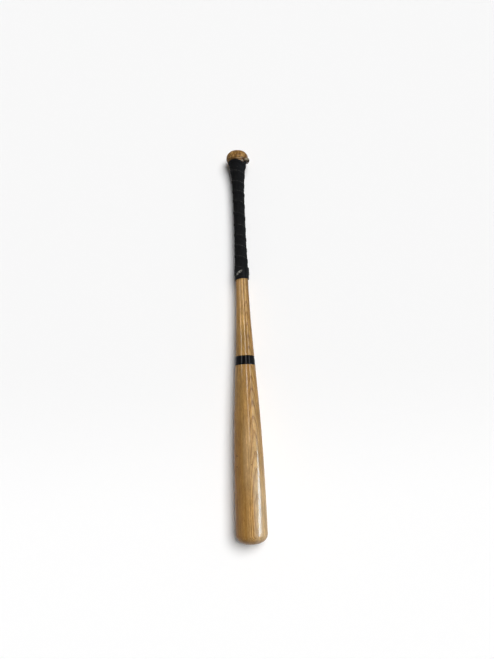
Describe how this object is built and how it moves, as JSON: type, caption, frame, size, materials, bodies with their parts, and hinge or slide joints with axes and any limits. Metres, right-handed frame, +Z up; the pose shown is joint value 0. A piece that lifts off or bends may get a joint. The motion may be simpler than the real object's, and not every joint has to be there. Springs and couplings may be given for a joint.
{
  "type": "baseball bat",
  "caption": "Turned wooden baseball bat with a knob, a slim handle wound in black grip tape, a black band round the taper and a rounded barrel.",
  "frame": {"origin": "on the floor that the bat lies on, below the middle of its length", "axes": "+Y along the bat towards the knob, -Y towards the barrel's end, +Z up from the floor"},
  "size_m": [0.0634, 0.8382, 0.0634],
  "materials": {
    "lacquered_wood": "clear gloss lacquer over honey-coloured ash",
    "black_band": "gloss black paint, lightly streaked",
    "grip_tape": "matt black woven cloth tape",
    "finishing_tape": "smooth black tape, scuffed on its front",
    "tape_backing": "grimy pale backing of the tape"
  },
  "bodies": {
    "root": {"bat_body": "lacquered_wood", "black_ring": "black_band", "grip_wrap": "grip_tape", "finish_band": "finishing_tape", "tape_tab": "tape_backing"}
  },
  "joints": []
}
